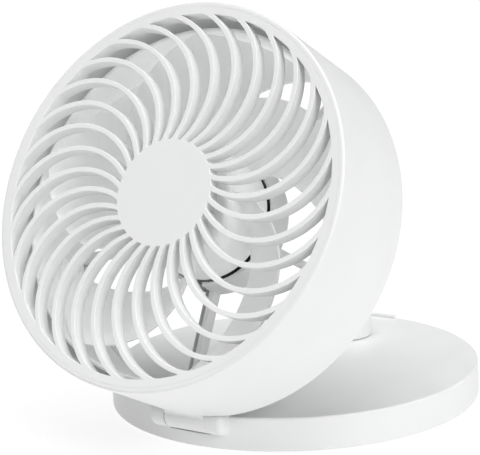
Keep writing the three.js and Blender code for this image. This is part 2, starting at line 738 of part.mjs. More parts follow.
// The cup-shaped hub, closed at the front, with a boss inside for the motor shaft.
function wheelHub() {
  const { hub, wall, roof, front, rear, edge, bevel } = WHEEL;
  return turned([
    [0, front],
    [hub - edge, front],
    [hub - bevel, front - bevel],
    [hub, front - edge],
    [hub, rear],
    [hub - wall, rear],
    [hub - wall, front - roof],
    [BOSS.radius, front - roof],
    [BOSS.radius, BOSS.bottom],
    [MOTOR.shaft + FIT, BOSS.bottom],
    [MOTOR.shaft + FIT, front - BOSS.cap],
    [0, front - BOSS.cap],
  ], MEDIUM);
}

function rotorCan() {
  const inner = MOTOR.can - CAN.wall;
  return ring([
    [MOTOR.shaft + FIT, CAN.top],
    [MOTOR.can, CAN.top],
    [MOTOR.can, CAN.bottom],
    [inner, CAN.bottom],
    [inner, CAN.top - CAN.wall],
    [MOTOR.shaft + FIT, CAN.top - CAN.wall],
  ], MEDIUM);
}

function rotorMagnet() {
  const outer = MOTOR.can - CAN.wall - FIT;
  return tube(MOTOR.stator + MAGNET.gap, outer, MAGNET.bottom, MAGNET.top, MEDIUM);
}

function motorShaft() {
  return disc(MOTOR.shaft, MOTOR.shaftRear, WHEEL.front - BOSS.cap - FIT, SMALL);
}

function shaftClip() {
  return tube(MOTOR.shaft + FIT, CLIP.radius, CLIP.bottom, CLIP.bottom + CLIP.thickness,
    SMALL);
}

function addWheel(group) {
  const one = blade();
  const blades = Array.from({ length: BLADES.count },
    (_, i) => turnedBy(one, i * 360 / BLADES.count));
  group.add(toMesh('wheel_hub', wheelHub(), white()));
  addCopies(group, 'blade', blades, white);
  group.add(toMesh('rotor_can', rotorCan(), steel()));
  group.add(toMesh('rotor_magnet', rotorMagnet(), ferrite()));
  group.add(toMesh('motor_shaft', motorShaft(), steel()));
  group.add(toMesh('shaft_clip', shaftClip(), steel()));
}

// ------------------------------------------------------------------- assembly

const group = new THREE.Group();
addBase(group);
addKnob(group);

const hinge = new THREE.Group();
hinge.position.set(0, HINGE.y, HINGE.z);
hinge.rotation.x = THREE.MathUtils.degToRad(OPEN_ANGLE);
group.add(hinge);

const head = new THREE.Group();
head.position.set(0, -HINGE.y, -HINGE_Z);
hinge.add(head);
addHead(head);
addWheel(head);

export default group;
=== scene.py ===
"""A folding desk fan standing open on a pale floor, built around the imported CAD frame.

Blender works in metres. The sizes below are in millimetres, and every shape is made in
millimetres, then scaled by MM. The head's shapes are made with the rear face of the
head at z = 0 and its axis along +Z, and HEAD_PLACE stands them on the hinge.
"""

import json
import math

import bmesh
import bpy
from mathutils import Matrix, Vector


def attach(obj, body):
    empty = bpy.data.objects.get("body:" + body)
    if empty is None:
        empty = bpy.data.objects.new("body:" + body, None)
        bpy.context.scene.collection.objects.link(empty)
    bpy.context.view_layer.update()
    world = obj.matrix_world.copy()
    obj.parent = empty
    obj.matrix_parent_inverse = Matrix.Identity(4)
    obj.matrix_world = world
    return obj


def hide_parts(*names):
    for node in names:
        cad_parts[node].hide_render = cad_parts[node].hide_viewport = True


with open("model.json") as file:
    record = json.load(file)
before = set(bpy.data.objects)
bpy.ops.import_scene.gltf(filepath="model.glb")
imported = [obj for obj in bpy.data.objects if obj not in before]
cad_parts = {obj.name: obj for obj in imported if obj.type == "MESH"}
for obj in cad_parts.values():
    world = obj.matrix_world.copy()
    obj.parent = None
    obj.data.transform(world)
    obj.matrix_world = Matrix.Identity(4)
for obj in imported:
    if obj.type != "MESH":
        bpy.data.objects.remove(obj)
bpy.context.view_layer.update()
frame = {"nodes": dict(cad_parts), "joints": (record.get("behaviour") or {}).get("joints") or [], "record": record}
record = frame["record"]

# ------------------------------------------------------------------ dimensions

MM = 0.001
FIT = 0.3                # gap between pieces that touch
SINK = 0.5               # how far joined shapes run into each other
PAST = 1                 # how far a cutting shape runs past a face
ROUND = 240              # steps round a large circle
MEDIUM = 96              # steps round a circle a few centimetres across
SMALL = 32               # steps round a screw or pin

BASE = {"radius": 75, "top": 13.9, "wall": 2, "roof": 2, "foot": 0.8, "edge": 0.9}
COVER = {"bottom": 1.3, "thickness": 2}
PAD = {"radius": 66, "thickness": 1}
GROOVES = {"count": 5, "first": 20, "pitch": 9, "width": 1.5, "slope": 0.3, "depth": 0.35}

# The drum is drawn in by its inset, so that it stays inside the CAD drum's flat sides.
HEAD = {"radius": 73.8, "depth": 46.3, "wall": 2, "edge": 0.95, "inset": 0.1,
        "closed_gap": 1}
DUCT = {"inner": 66.4, "outer": 67.9, "bottom": 2.3, "front": 35, "flange": 1.2}
GRILLE = {"depth": 5.6, "opening": 68.8, "hub": 20.25, "ribs": 30, "rib_width": 1.9}
RIB_ARC = {"x": 36.8, "y": 23.2, "radius": 29.4}   # centre line of the first rib
RIB_EDGE = {"round": 0.25, "draft": 0.15, "steps": 4}
OPENING_CORNERS = [1.5, 0.2, 0.4, 0.4]  # reach of their rounding, two at the rim first
SEAM = 0.04              # hairline between the grille and the drum
LEDGE = {"inner": 69.6, "thickness": 1.5, "slope": 1.5}
PILLAR = {"radius": 69.6, "inner": 68.3, "half_width": 2.2, "bottom": 3.8, "top": 12}

HINGE = {"y": -73.7, "z": 11.5, "barrel": 5, "relief": 5.4, "edge": 0.08}
KNUCKLE = {"middle": 9.05, "inner": 9.45, "outer": 16.7, "dome": 4.2}
PLUG = {"x0": -16.65, "x1": -15.6, "radius": 2.5, "gap": 0.1}
WEB = {"outer": -77.4, "knee": -73.5, "inner": -72.1, "top": 2.6, "half_height": 1,
       "set_in": 0.1}

KNOB = {"y": 41.5, "radius": 11.5, "height": 9, "cap": 2.7, "shaft": 3, "crown": 0.2,
        "shoulder": 0.6}
FLUTES = {"count": 36, "steps": 8, "half_depth": 0.16, "band": 0.9, "below_top": 1.6}
POINTER = {"width": 1.2, "length": 6, "out": 6.5, "depth": 0.5, "corner": 0.55}
LATCH = {"y0": 71.8, "y1": 73.6, "half_width": 7.5, "height": 1.6, "gap": 0.8}
SOCKET = {"half_width": 4.5, "y0": 66.5, "y1": 74.4, "bottom": 5.9, "top": 9.1, "wall": 0.4,
          "back": 1, "corner": 1.58, "inner_corner": 1.18, "mouth_corner": 1.85}
TONGUE = {"width": 6.6, "height": 0.7, "corner": 0.2, "rear": 0.5, "set_back": 1.2}
LIGHT = {"x": 10.5, "z": 7.5, "radius": 1, "y0": 68, "y1": 74}
SIDE_HOLES = {"y0": 71, "y1": 80}

CUP = {"rear": 27.2, "front": 26.2, "wall": 1.6, "bottom": 0.8, "top": 11.6}
CUP_GROOVE = {"inner": 14, "outer": 25, "depth": 0.5}
FLOOR = CUP["bottom"] + 2
FLANGE = {"inner": 65.2, "top": 2}
SPOKES = {"count": 5, "first": -90, "end": 65.9, "top": 6, "sunk": 1.2, "foot_end": 68.5,
          "foot_sunk": 0.8}
PLAIN_SPOKE = (-1.6, 1.6)
LEAD_SPOKE = (-1.7, 3.8)
LEAD_WALL = 1.7          # where the wall beside the motor lead starts
LEAD_ROOM = {"outer": -30, "inner": -22}
CABLE = {"wire": 0.6, "inner": 22.6, "outer": 65.6, "bridge_width": 0.8,
         "bridge_height": 0.5}

WHEEL = {"hub": 24.2, "wall": 1.5, "roof": 2.2, "front": 38.8, "rear": 12.6, "edge": 2.4}
BOSS = {"radius": 5, "bottom": 29.4, "bore": 1.8, "cap": 1.6}
BLADES = {"count": 5, "thickness": 1.6, "start": 23.4, "root": 24.5, "tip": 65.25,
          "phase": 156, "front": 36.5}
SWEEP = {"steady": 39, "towards_tip": 20}            # degrees that the front edge trails
SPAN = {"root": 39.4, "growth": 3.6, "bulge": 10}    # degrees from front edge to rear edge
REAR_EDGE = {"root": 14.8, "rise": 3.7}              # height of the rear edge
CAMBER = 1.5             # 1 for a flat blade, more for one steeper in front
BLADE_EDGE = 0.02        # share of a blade that its rounded edge takes
BLADE_FILLET = {"share": 0.06, "swell": 0.8}

REAR_SCREW = {"head": 1.3, "head_height": 0.9, "shank": 0.75, "length": 7, "bottom": 0.2}
MOTOR_SCREW = {"head": 1.6, "head_height": 0.6, "shank": 0.5, "length": 2.2,
               "bottom": CUP["bottom"] + 0.1}
CROSS = {"arm": 0.72, "slot": 0.2, "depth": 0.55}    # shares of a screw's head
REAR_RECESS = {"radius": 1.55, "top": 1.2}
MOTOR_RECESS = {"radius": 1.85, "top": 1.5}
MOTOR_SCREWS = {"radius": 7, "angles": [90, 210, 330]}
CORNER_ANGLES = [45, 135, 225, 315]

# The camera's distance and target are in metres, and its angles in degrees.
CAMERA = {"azimuth": 34.094, "elevation": 12.209, "roll": -2.549, "distance": 0.7042,
          "lens": 128.7, "target": (-0.0221, -0.0027, 0.0682)}
STUDIO = {"floor_radius": 9000, "floor_depth": 20, "floor_grey": 0.22, "floor_glow": 0.82,
          "world": 0.12}
KEY_LIGHT = {"direction": (0.81, -0.29, 0.5), "spread": 30, "strength": 1.5}
TOP_LIGHT = {"direction": (0, -0.1, 1), "spread": 60, "strength": 2.3}

INNER = HEAD["radius"] - HEAD["wall"]
FACE = HEAD["depth"]
HINGE_Z = HINGE["z"] - (BASE["top"] + HEAD["closed_gap"])

tilt_joint = next(joint for joint in frame["joints"] if joint["name"] == "head_tilt")
TILT = math.radians(-tilt_joint["range_deg"][0])
BASE_PLACE = Matrix.Identity(4)
HEAD_PLACE = (
    Matrix.Translation(tilt_joint["pos_m"])
    @ Matrix.Rotation(TILT, 4, "X")
    @ Matrix.Translation((0, -HINGE["y"] * MM, -HINGE_Z * MM))
)

# --------------------------------------------------------------- shape helpers
# A shape is a pair: its points in millimetres, and its faces as lists of indices.

ON_AXIS = 1e-6           # points of a profile closer than this lie on the axis


def polar(radius, degrees):
    angle = math.radians(degrees)
    return radius * math.cos(angle), radius * math.sin(angle)


def rounded(corners, closed=True, steps=6):
    """Replaces each corner (x, y, radius) of an outline by an arc of that radius."""
    outline = []
    count = len(corners)
    for i, (x, y, radius) in enumerate(corners):
        here = Vector((x, y))
        if radius == 0 or (not closed and i in (0, count - 1)):
            outline.append((x, y))
            continue
        back = Vector(corners[i - 1][:2]) - here
        ahead = Vector(corners[(i + 1) % count][:2]) - here
        half = back.angle(ahead) / 2
        reach = min(radius / math.tan(half), 0.49 * back.length, 0.49 * ahead.length)
        radius = reach * math.tan(half)
        middle = back.normalized() + ahead.normalized()
        centre = here + middle.normalized() * (radius / math.sin(half))
        start = here + back.normalized() * reach - centre
        end = here + ahead.normalized() * reach - centre
        turn = math.atan2(start.x * end.y - start.y * end.x, start.dot(end))
        for k in range(steps + 1):
            spoke = Matrix.Rotation(turn * k / steps, 2) @ start
            outline.append(tuple(centre + spoke))
    return outline


def turned(profile, steps=ROUND, radius_at=None):
    """Turns a profile of (radius, z) about the Z axis. A profile that doesn't start on
    the axis closes on itself. radius_at(radius, z, degrees) can vary the radius."""
    points = []
    rings = []
    for radius, z in profile:
        if radius < ON_AXIS:
            rings.append([len(points)] * steps)
            points.append((0, 0, z))
            continue
        rings.append(list(range(len(points), len(points) + steps)))
        for i in range(steps):
            degrees = 360 * i / steps
            r = radius_at(radius, z, degrees) if radius_at else radius
            points.append((*polar(r, degrees), z))
    pairs = list(zip(rings, rings[1:]))
    if profile[0][0] >= ON_AXIS:
        pairs.append((rings[-1], rings[0]))
    faces = []
    for low, high in pairs:
        for i in range(steps):
            j = (i + 1) % steps
            face = list(dict.fromkeys([low[i], low[j], high[j], high[i]]))
            if len(face) > 2:
                faces.append(face)
    return points, faces


def swept(sections):
    """Joins rings of points that match one to one, and closes both ends."""
    size = len(sections[0])
    points = [point for section in sections for point in section]
    faces = [list(range(size)), list(range(len(points) - size, len(points)))]
    for k in range(len(sections) - 1):
        for i in range(size):
            j = (i + 1) % size
            a = k * size
            b = a + size
            faces.append([a + i, a + j, b + j, b + i])
    return points, faces


def extruded(outline, start, end, along="z"):
    """A flat outline pushed along one axis. Its x, y become the other two axes."""
    lift = {
        "z": lambda x, y, t: (x, y, t),
        "y": lambda x, y, t: (x, t, y),
        "x": lambda x, y, t: (t, x, y),
    }[along]
    return swept([[lift(x, y, t) for x, y in outline] for t in (start, end)])


def rounded_box(x0, x1, y0, y1, start, end, radius, along="z"):
    corners = [(x0, y0, radius), (x1, y0, radius), (x1, y1, radius), (x0, y1, radius)]
    return extruded(rounded(corners), start, end, along)


def capped(width, height, centre, start, end, radius, along):
    """A rounded box given by its middle and size instead of its corners."""
    x, y = centre
    return rounded_box(x - width / 2, x + width / 2, y - height / 2, y + height / 2,
                       start, end, radius, along)


def changed(shape, matrix):
    points, faces = shape
    return [tuple(matrix @ Vector(point)) for point in points], faces


def spun(shape, degrees):
    return changed(shape, Matrix.Rotation(math.radians(degrees), 4, "Z"))


def shifted(shape, x=0, y=0, z=0):
    return changed(shape, Matrix.Translation((x, y, z)))


def along_x(shape, y, z):
    """Lays a shape made about the Z axis along X, through the point y, z."""
    return shifted(changed(shape, Matrix.Rotation(math.radians(90), 4, "Y")), 0, y, z)


def along_y(shape, x, z):
    """Lays a shape made about the Z axis along Y, through the point x, z."""
    return shifted(changed(shape, Matrix.Rotation(math.radians(-90), 4, "X")), x, 0, z)


def rod(radius, start, end, steps=SMALL):
    """A plain round rod about the Z axis, used to cut holes."""
    return turned([(0, start), (radius, start), (radius, end), (0, end)], steps)


def merged(*shapes):
    points = []
    faces = []
    for shape_points, shape_faces in shapes:
        offset = len(points)
        points.extend(shape_points)
        faces.extend([[offset + i for i in face] for face in shape_faces])
    return points, faces


def build(name, shape, place):
    """A mesh object in the scene, its place in its vertices and its faces pointing out."""
    points, faces = shape
    mesh = bpy.data.meshes.new(name)
    mesh.from_pydata([place @ (Vector(point) * MM) for point in points], [], faces)
    work = bmesh.new()
    work.from_mesh(mesh)
    bmesh.ops.recalc_face_normals(work, faces=work.faces)
    work.to_mesh(mesh)
    work.free()
    obj = bpy.data.objects.new(name, mesh)
    bpy.context.scene.collection.objects.link(obj)
    return obj


def bake(obj):
    """Puts what an object's modifiers do into its mesh."""
    bpy.context.view_layer.update()
    graph = bpy.context.evaluated_depsgraph_get()
    result = bpy.data.meshes.new_from_object(obj.evaluated_get(graph))
    obj.modifiers.clear()
    obj.data = result


def combine(obj, shapes, place, operation):
    """Joins shapes to an object or cuts them out of it, one after another."""
    for shape in shapes:
        tool = build("tool", shape, place)
        modifier = obj.modifiers.new("combine", "BOOLEAN")
        modifier.operation = operation
        modifier.solver = "MANIFOLD"
        modifier.object = tool
        bake(obj)
        bpy.data.objects.remove(tool)


def smooth(obj, degrees=35):
    """Smooth shading that keeps large flat faces flat up to their rounded edges."""
    obj.data.shade_smooth()
    obj.data.set_sharp_from_angle(angle=math.radians(degrees))
    modifier = obj.modifiers.new("flat_faces", "WEIGHTED_NORMAL")
    modifier.keep_sharp = True
    modifier.weight = 90
    bake(obj)
    return obj


def piece(name, shape, body, material, nodes, joins=(), cuts=(), place=BASE_PLACE):
    """A finished piece that rides on a body and stands for some CAD nodes."""
    obj = build(name, shape, place)
    combine(obj, joins, place, "UNION")
    combine(obj, cuts, place, "DIFFERENCE")
    smooth(obj)
    obj.data.materials.clear()
    obj.data.materials.append(material)
    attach(obj, body)
    if nodes:
        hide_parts(*nodes)
    return obj


# ------------------------------------------------------------------- materials

colours = {slot["slot"]: slot["base_color"] for slot in record["materials"]}
PATTERN_START = 0.3      # most of a noise or wave pattern lies between these two values
PATTERN_END = 0.7
WAVE_PERIOD = 0.314      # period of the wave texture at scale 1
WHITE = (1, 1, 1, 1)


def tinted(colour, factor):
    return (*[min(1, channel * factor) for channel in colour], 1)


class Surface:
    """A material being put together from procedural nodes, in object coordinates."""

    def __init__(self, name, slot, colour=None):
        self.material = bpy.data.materials.new(name)
        self.material.use_nodes = True
        self.material["slot"] = slot
        self.tree = self.material.node_tree
        self.shader = self.tree.nodes["Principled BSDF"]
        self.coords = self.tree.nodes.new("ShaderNodeTexCoord").outputs["Object"]
        self.colour = colour or colours[slot]

    def link(self, source, target):
        self.tree.links.new(source, target)

    def scaled(self, stretch):
        node = self.tree.nodes.new("ShaderNodeMapping")
        node.inputs["Scale"].default_value = stretch
        self.link(self.coords, node.inputs["Vector"])
        return node.outputs["Vector"]

    def noise(self, size_mm, detail=3, stretch=(1, 1, 1)):
        """Noise whose features are about size_mm across."""
        node = self.tree.nodes.new("ShaderNodeTexNoise")
        node.inputs["Scale"].default_value = 1 / (size_mm * MM)
        node.inputs["Detail"].default_value = detail
        self.link(self.scaled(stretch), node.inputs["Vector"])
        return node.outputs["Fac"]

    def waves(self, pitch_mm, direction, distortion=0.0):
        """Bands across one direction, pitch_mm apart, straight unless distorted."""
        node = self.tree.nodes.new("ShaderNodeTexWave")
        node.bands_direction = direction
        node.inputs["Scale"].default_value = WAVE_PERIOD / (pitch_mm * MM)
        node.inputs["Distortion"].default_value = distortion
        self.link(self.coords, node.inputs["Vector"])
        return node.outputs["Fac"]

    def tint(self, value, low, high, start=PATTERN_START, end=PATTERN_END):
        """Colours a pattern from low to high, both factors of the slot's colour."""
        node = self.tree.nodes.new("ShaderNodeValToRGB")
        node.color_ramp.elements[0].position = start
        node.color_ramp.elements[1].position = end
        node.color_ramp.elements[0].color = tinted(self.colour, low)
        node.color_ramp.elements[1].color = tinted(self.colour, high)
        self.link(value, node.inputs["Fac"])
        self.link(node.outputs["Color"], self.shader.inputs["Base Color"])

    def roughness(self, value, low, high):
        """Maps a pattern to a roughness from low to high."""
        node = self.tree.nodes.new("ShaderNodeMapRange")
        node.inputs["From Min"].default_value = PATTERN_START
        node.inputs["From Max"].default_value = PATTERN_END
        node.inputs["To Min"].default_value = low
        node.inputs["To Max"].default_value = high
        self.link(value, node.inputs["Value"])
        self.link(node.outputs["Result"], self.shader.inputs["Roughness"])

    def relief(self, value, depth_mm, strength=0.5, soften_mm=0.0):
        """Bumps the surface, and rounds its sharp edges if soften_mm is given."""
        node = self.tree.nodes.new("ShaderNodeBump")
        node.inputs["Distance"].default_value = depth_mm * MM
        node.inputs["Strength"].default_value = strength
        self.link(value, node.inputs["Height"])
        if soften_mm:
            edge = self.tree.nodes.new("ShaderNodeBevel")
            edge.samples = 4
            edge.inputs["Radius"].default_value = soften_mm * MM
            self.link(edge.outputs["Normal"], node.inputs["Normal"])
        self.link(node.outputs["Normal"], self.shader.inputs["Normal"])

    def glow(self, strength):
        self.shader.inputs["Emission Color"].default_value = WHITE
        self.shader.inputs["Emission Strength"].default_value = strength

    def set(self, **values):
        """Sets the shader's own constants and gives back the finished material."""
        names = {"metallic": "Metallic", "specular": "Specular IOR Level",
                 "coat": "Coat Weight", "transmission": "Transmission Weight"}
        for key, value in values.items():
            self.shader.inputs[names[key]].default_value = value
        return self.material


def white_shell():
    """Satin ABS with a fine spark-eroded grain and faint flow mottling."""
    s = Surface("white_shell", "white_plastic")
    s.tint(s.noise(38, detail=4), 0.90, 0.93)
    s.roughness(s.noise(9, detail=5), 0.40, 0.52)
    s.relief(s.noise(0.35, detail=2), 0.02, 0.25)
    return s.set(specular=0.42)


def white_inner_painted_glow():
    """The same plastic as moulded for the wheel and duct, smoother, with flow lines. Its
    faint glow is painted light that brightens the shaded wheel and duct, standing in for the light that such thin
    walls let through."""
    s = Surface("white_inner_painted_glow", "white_plastic")
    s.tint(s.noise(24, detail=4, stretch=(1, 1, 0.4)), 0.95, 0.99)
    s.roughness(s.noise(6, detail=5), 0.34, 0.48)
    s.relief(s.noise(0.6, detail=2), 0.015, 0.2)
    # painted light: a faint glow that lifts the shade inside the head
    s.glow(0.11)
    return s.set(specular=0.42)


def rubber():
    """Matt rubber with an open grain."""
    s = Surface("pad_rubber", "grey_rubber")
    s.tint(s.noise(12, detail=5), 0.85, 1.1)
    s.roughness(s.noise(3, detail=4), 0.72, 0.9)
    s.relief(s.noise(0.5, detail=3), 0.08, 0.5, soften_mm=0.2)
    return s.set(specular=0.3)


def lead_sheath():
    """Soft sheath over the motor lead, paler than the pad."""
    s = Surface("lead_sheath", "grey_rubber")
    s.tint(s.noise(5, detail=5), 1.35, 1.65)
    s.roughness(s.noise(1.5, detail=4), 0.5, 0.68)
    s.relief(s.noise(0.3, detail=3), 0.03, 0.4)
    return s.set(specular=0.4)


def acetal():
    """Slippery grey plastic of the bushes."""
    s = Surface("acetal", "grey_acetal")
    s.tint(s.noise(4, detail=3), 0.92, 1.06)
    s.roughness(s.noise(2, detail=4), 0.3, 0.42)
    s.relief(s.noise(0.4, detail=2), 0.01, 0.3)
    return s.set(specular=0.5)


def black_plastic():
    """Glass-filled plastic, with dust in its grain."""
    s = Surface("black_sheath", "black_plastic")
    s.tint(s.noise(5, detail=6), 0.7, 1.5)
    s.roughness(s.noise(1.5, detail=4), 0.42, 0.62)
    s.relief(s.noise(0.3, detail=3), 0.03, 0.4)
    return s.set(specular=0.45)


def light_pipe():
    """Clear plastic that leads the charge light outside."""
    s = Surface("light_pipe", "light_pipe")
    s.tint(s.noise(1.5, detail=2), 0.96, 1.0)
    s.roughness(s.noise(1, detail=3), 0.12, 0.22)
    s.relief(s.noise(0.5, detail=2), 0.01, 0.2)
    return s.set(transmission=0.6)


def battery_film():
    """Shrunk film, glossy and wrinkled along its length."""
    s = Surface("battery_film", "battery_wrap")
    s.tint(s.noise(15, detail=3, stretch=(0.3, 1, 1)), 0.9, 1.08)
    s.roughness(s.noise(5, detail=4), 0.2, 0.34)
    s.relief(s.noise(7, detail=4, stretch=(0.4, 1, 1)), 0.25, 0.5)
    return s.set(specular=0.55, coat=0.3)


def solder_mask():
    """Black board with the raised edges of buried tracks."""
    s = Surface("solder_mask", "circuit_board")
    s.tint(s.waves(1.6, "X", distortion=3), 0.75, 1.35, 0.45, 0.55)
    s.roughness(s.noise(4, detail=4), 0.25, 0.4)
    s.relief(s.waves(1.6, "X", distortion=3), 0.04, 0.6)
    return s.set(specular=0.5, coat=0.4)


def zinc():
    """Bright zinc plate with turning marks and dull patches."""
    s = Surface("zinc_plate", "steel")
    s.tint(s.noise(2.5, detail=5), 0.82, 1.08)
    s.roughness(s.noise(1.2, detail=5, stretch=(1, 1, 6)), 0.2, 0.42)
    s.relief(s.noise(0.25, detail=2, stretch=(1, 1, 8)), 0.01, 0.4, soften_mm=0.08)
    return s.set(metallic=1.0)


def laminations():
    """Stacked sheets of silicon steel under varnish."""
    s = Surface("laminations", "silicon_steel")
    s.tint(s.noise(3, detail=4), 0.8, 1.15)
    s.roughness(s.noise(2, detail=4), 0.4, 0.6)
    s.relief(s.waves(0.5, "Y"), 0.06, 0.8)
    return s.set(metallic=0.8)


def copper():
    """Enamelled wire laid side by side."""
    s = Surface("enamelled_copper", "copper_wire")
    s.tint(s.waves(0.35, "DIAGONAL", distortion=1.2), 0.6, 1.25)
    s.roughness(s.noise(2, detail=3), 0.22, 0.36)
    s.relief(s.waves(0.35, "DIAGONAL", distortion=1.2), 0.12, 0.9)
    return s.set(metallic=0.7, coat=0.5)


def brass():
    """Turned brass with patches of tarnish."""
    s = Surface("turned_brass", "brass")
    s.tint(s.noise(3, detail=5), 0.82, 1.06)
    s.roughness(s.noise(1.5, detail=4, stretch=(1, 1, 6)), 0.22, 0.38)
    s.relief(s.waves(0.2, "Y"), 0.01, 0.5)
    return s.set(metallic=1.0)


def ferrite():
    """Magnet powder in a dull binder."""
    s = Surface("bonded_ferrite", "magnet")
    s.tint(s.noise(1.5, detail=6), 0.7, 1.5)
    s.roughness(s.noise(1, detail=5), 0.55, 0.75)
    s.relief(s.noise(0.25, detail=4), 0.03, 0.6)
    return s.set(specular=0.35)


def studio_floor():
    """A plain pale table top with a glow of its own."""
    s = Surface("studio_floor", "floor", [STUDIO["floor_grey"]] * 3)
    s.tint(s.noise(400, detail=2), 0.99, 1.0)
    s.roughness(s.noise(60, detail=3), 0.75, 0.85)
    s.relief(s.noise(1.5, detail=2), 0.02, 0.1)
    s.glow(STUDIO["floor_glow"])
    return s.set(specular=0.1)


SHELL = white_shell()
INSIDE = white_inner_painted_glow()
STEEL = zinc()
LEAD = lead_sheath()
SLOT_MATERIALS = {
    "white_plastic": SHELL,
    "grey_rubber": rubber(),
    "grey_acetal": acetal(),
    "black_plastic": black_plastic(),
    "light_pipe": light_pipe(),
    "battery_wrap": battery_film(),
    "circuit_board": solder_mask(),
    "steel": STEEL,
    "silicon_steel": laminations(),
    "copper_wire": copper(),
    "brass": brass(),
    "magnet": ferrite(),
}


def finish_cad_nodes():
    """Gives every CAD node the finish of its material slot."""
    for entry in record["subparts"]:
        data = frame["nodes"][entry["node"]].data
        data.materials.clear()
        data.materials.append(SLOT_MATERIALS[entry["material_slot"]])


# ------------------------------------------------------------------------ base


def hinge_bar(radius, x0, x1, dome=0.0):
    """A round bar on the hinge's axis. The end at x1 is domed by the given radius."""
    profile = rounded([(0, x0, 0), (radius, x0, HINGE["edge"]), (radius, x1, dome),
                       (0, x1, 0)], closed=False, steps=12)
    return along_x(turned(profile, MEDIUM), HINGE["y"], HINGE["z"])


def end_knuckle(side):
    """The fixed knuckle at one end of the hinge, its outer end domed."""
    return hinge_bar(HINGE["barrel"], side * KNUCKLE["inner"], side * KNUCKLE["outer"],
                     dome=KNUCKLE["dome"])


def base_body():
    """The roof and side wall of the base, open below."""
    radius, top, edge = BASE["radius"], BASE["top"], BASE["edge"]
    inner = radius - BASE["wall"]
    under = top - BASE["roof"]
    profile = rounded([
        (0, top, 0),
        (radius, top, edge),
        (radius, BASE["foot"], 0.5),
        (inner, BASE["foot"], 0.3),
        (inner, under, 0.5),
        (0, under, 0),
    ], closed=False)
    return turned(profile)


def knuckle_room():
    """What is cut from the base so that the head's knuckle can turn."""
    reach = KNUCKLE["inner"]
    relief = HINGE["relief"]
    y, z = HINGE["y"], HINGE["z"]
    outside = -BASE["radius"] - relief
    above = BASE["top"] + PAST
    outline = [(outside, z - relief), (y, z - relief)]
    outline += [(y + polar(relief, a)[0], z + polar(relief, a)[1]) for a in range(-85, 1, 5)]
    outline += [(y + relief, above), (outside, above)]
    return extruded(outline, -reach, reach, along="x")


def socket_shape(grown_by, corner, y0, y1):
    """The outline of the USB-C shell, grown by some amount, pushed along Y."""
    width = 2 * (SOCKET["half_width"] + grown_by)
    height = SOCKET["top"] - SOCKET["bottom"] + 2 * grown_by
    middle = (SOCKET["bottom"] + SOCKET["top"]) / 2
    return capped(width, height, (0, middle), y0, y1, corner, "y")


def add_base():
    """The base's shell with its latch ridge and hinge knuckles, and the hinge's plug."""
    latch = rounded_box(LATCH["y0"], LATCH["y1"], BASE["top"] - SINK,
                        BASE["top"] + LATCH["height"], -LATCH["half_width"],
                        LATCH["half_width"], 0.5, along="x")
    mouth = socket_shape(FIT, SOCKET["mouth_corner"], SIDE_HOLES["y0"], SIDE_HOLES["y1"])
    light_hole = along_y(rod(LIGHT["radius"] + FIT, SIDE_HOLES["y0"], SIDE_HOLES["y1"]),
                         LIGHT["x"], LIGHT["z"])
    plug_room = hinge_bar(PLUG["radius"] + PLUG["gap"], PLUG["x1"], PLUG["x0"] - 2 * PAST)
    piece("base_shell", base_body(), "base", SHELL, ["base_top_shell"],
          joins=[latch, end_knuckle(-1), end_knuckle(1)],
          cuts=[knuckle_room(), mouth, light_hole, plug_room])
    plug = hinge_bar(PLUG["radius"], PLUG["x1"], PLUG["x0"], dome=0.5)
    piece("hinge_end_plug", plug, "base", SHELL, ["hinge_plug"])


def add_bottom():
    """The bottom cover, and the rubber pad with rings of grooves under it."""
    low = COVER["bottom"]
    high = low + COVER["thickness"]
    radius = BASE["radius"] - BASE["wall"] - FIT
    plate = turned(rounded([(0, low, 0), (radius, low, 0.4), (radius, high, 0.2),
                            (0, high, 0)], closed=False))
    piece("bottom_cover", plate, "base", SHELL, ["base_bottom_cover"])
    top = PAD["thickness"]
    width, slope, depth = GROOVES["width"], GROOVES["slope"], GROOVES["depth"]
    corners = [(0, 0, 0)]
    for i in range(GROOVES["count"]):
        r = GROOVES["first"] + i * GROOVES["pitch"]
        corners += [(r, 0, 0.1), (r + slope, depth, 0.1), (r + width - slope, depth, 0.1),
                    (r + width, 0, 0.1)]
    corners += [(PAD["radius"], 0, 0.3), (PAD["radius"], top, 0.1), (0, top, 0)]
    piece("non_slip_pad", turned(rounded(corners, closed=False, steps=3)), "base",
          SLOT_MATERIALS["grey_rubber"], ["base_pad"])


def add_socket():
    """A USB-C shell, a rounded tube round a thin tongue."""
    shell = socket_shape(0, SOCKET["corner"], SOCKET["y0"], SOCKET["y1"])
    inside = socket_shape(-SOCKET["wall"], SOCKET["inner_corner"],
                          SOCKET["y0"] + SOCKET["back"], SOCKET["y1"] + PAST)
    piece("usb_shell", shell, "base", STEEL, ["usb_socket"], cuts=[inside])
    middle = (SOCKET["bottom"] + SOCKET["top"]) / 2
    tongue = capped(TONGUE["width"], TONGUE["height"], (0, middle),
                    SOCKET["y0"] + TONGUE["rear"], SOCKET["y1"] - TONGUE["set_back"],
                    TONGUE["corner"], "y")
    piece("usb_tongue", tongue, "base", SLOT_MATERIALS["black_plastic"], [])


def add_charge_light():
    """The round-nosed light pipe beside the socket."""
    profile = rounded([(0, LIGHT["y0"], 0), (LIGHT["radius"], LIGHT["y0"], 0.2),
                       (LIGHT["radius"], LIGHT["y1"], 0.4), (0, LIGHT["y1"], 0)],
                      closed=False)
    piece("charge_lens", along_y(turned(profile, SMALL), LIGHT["x"], LIGHT["z"]), "base",
          SLOT_MATERIALS["light_pipe"], ["charge_light"])


# ------------------------------------------------------------------------ knob


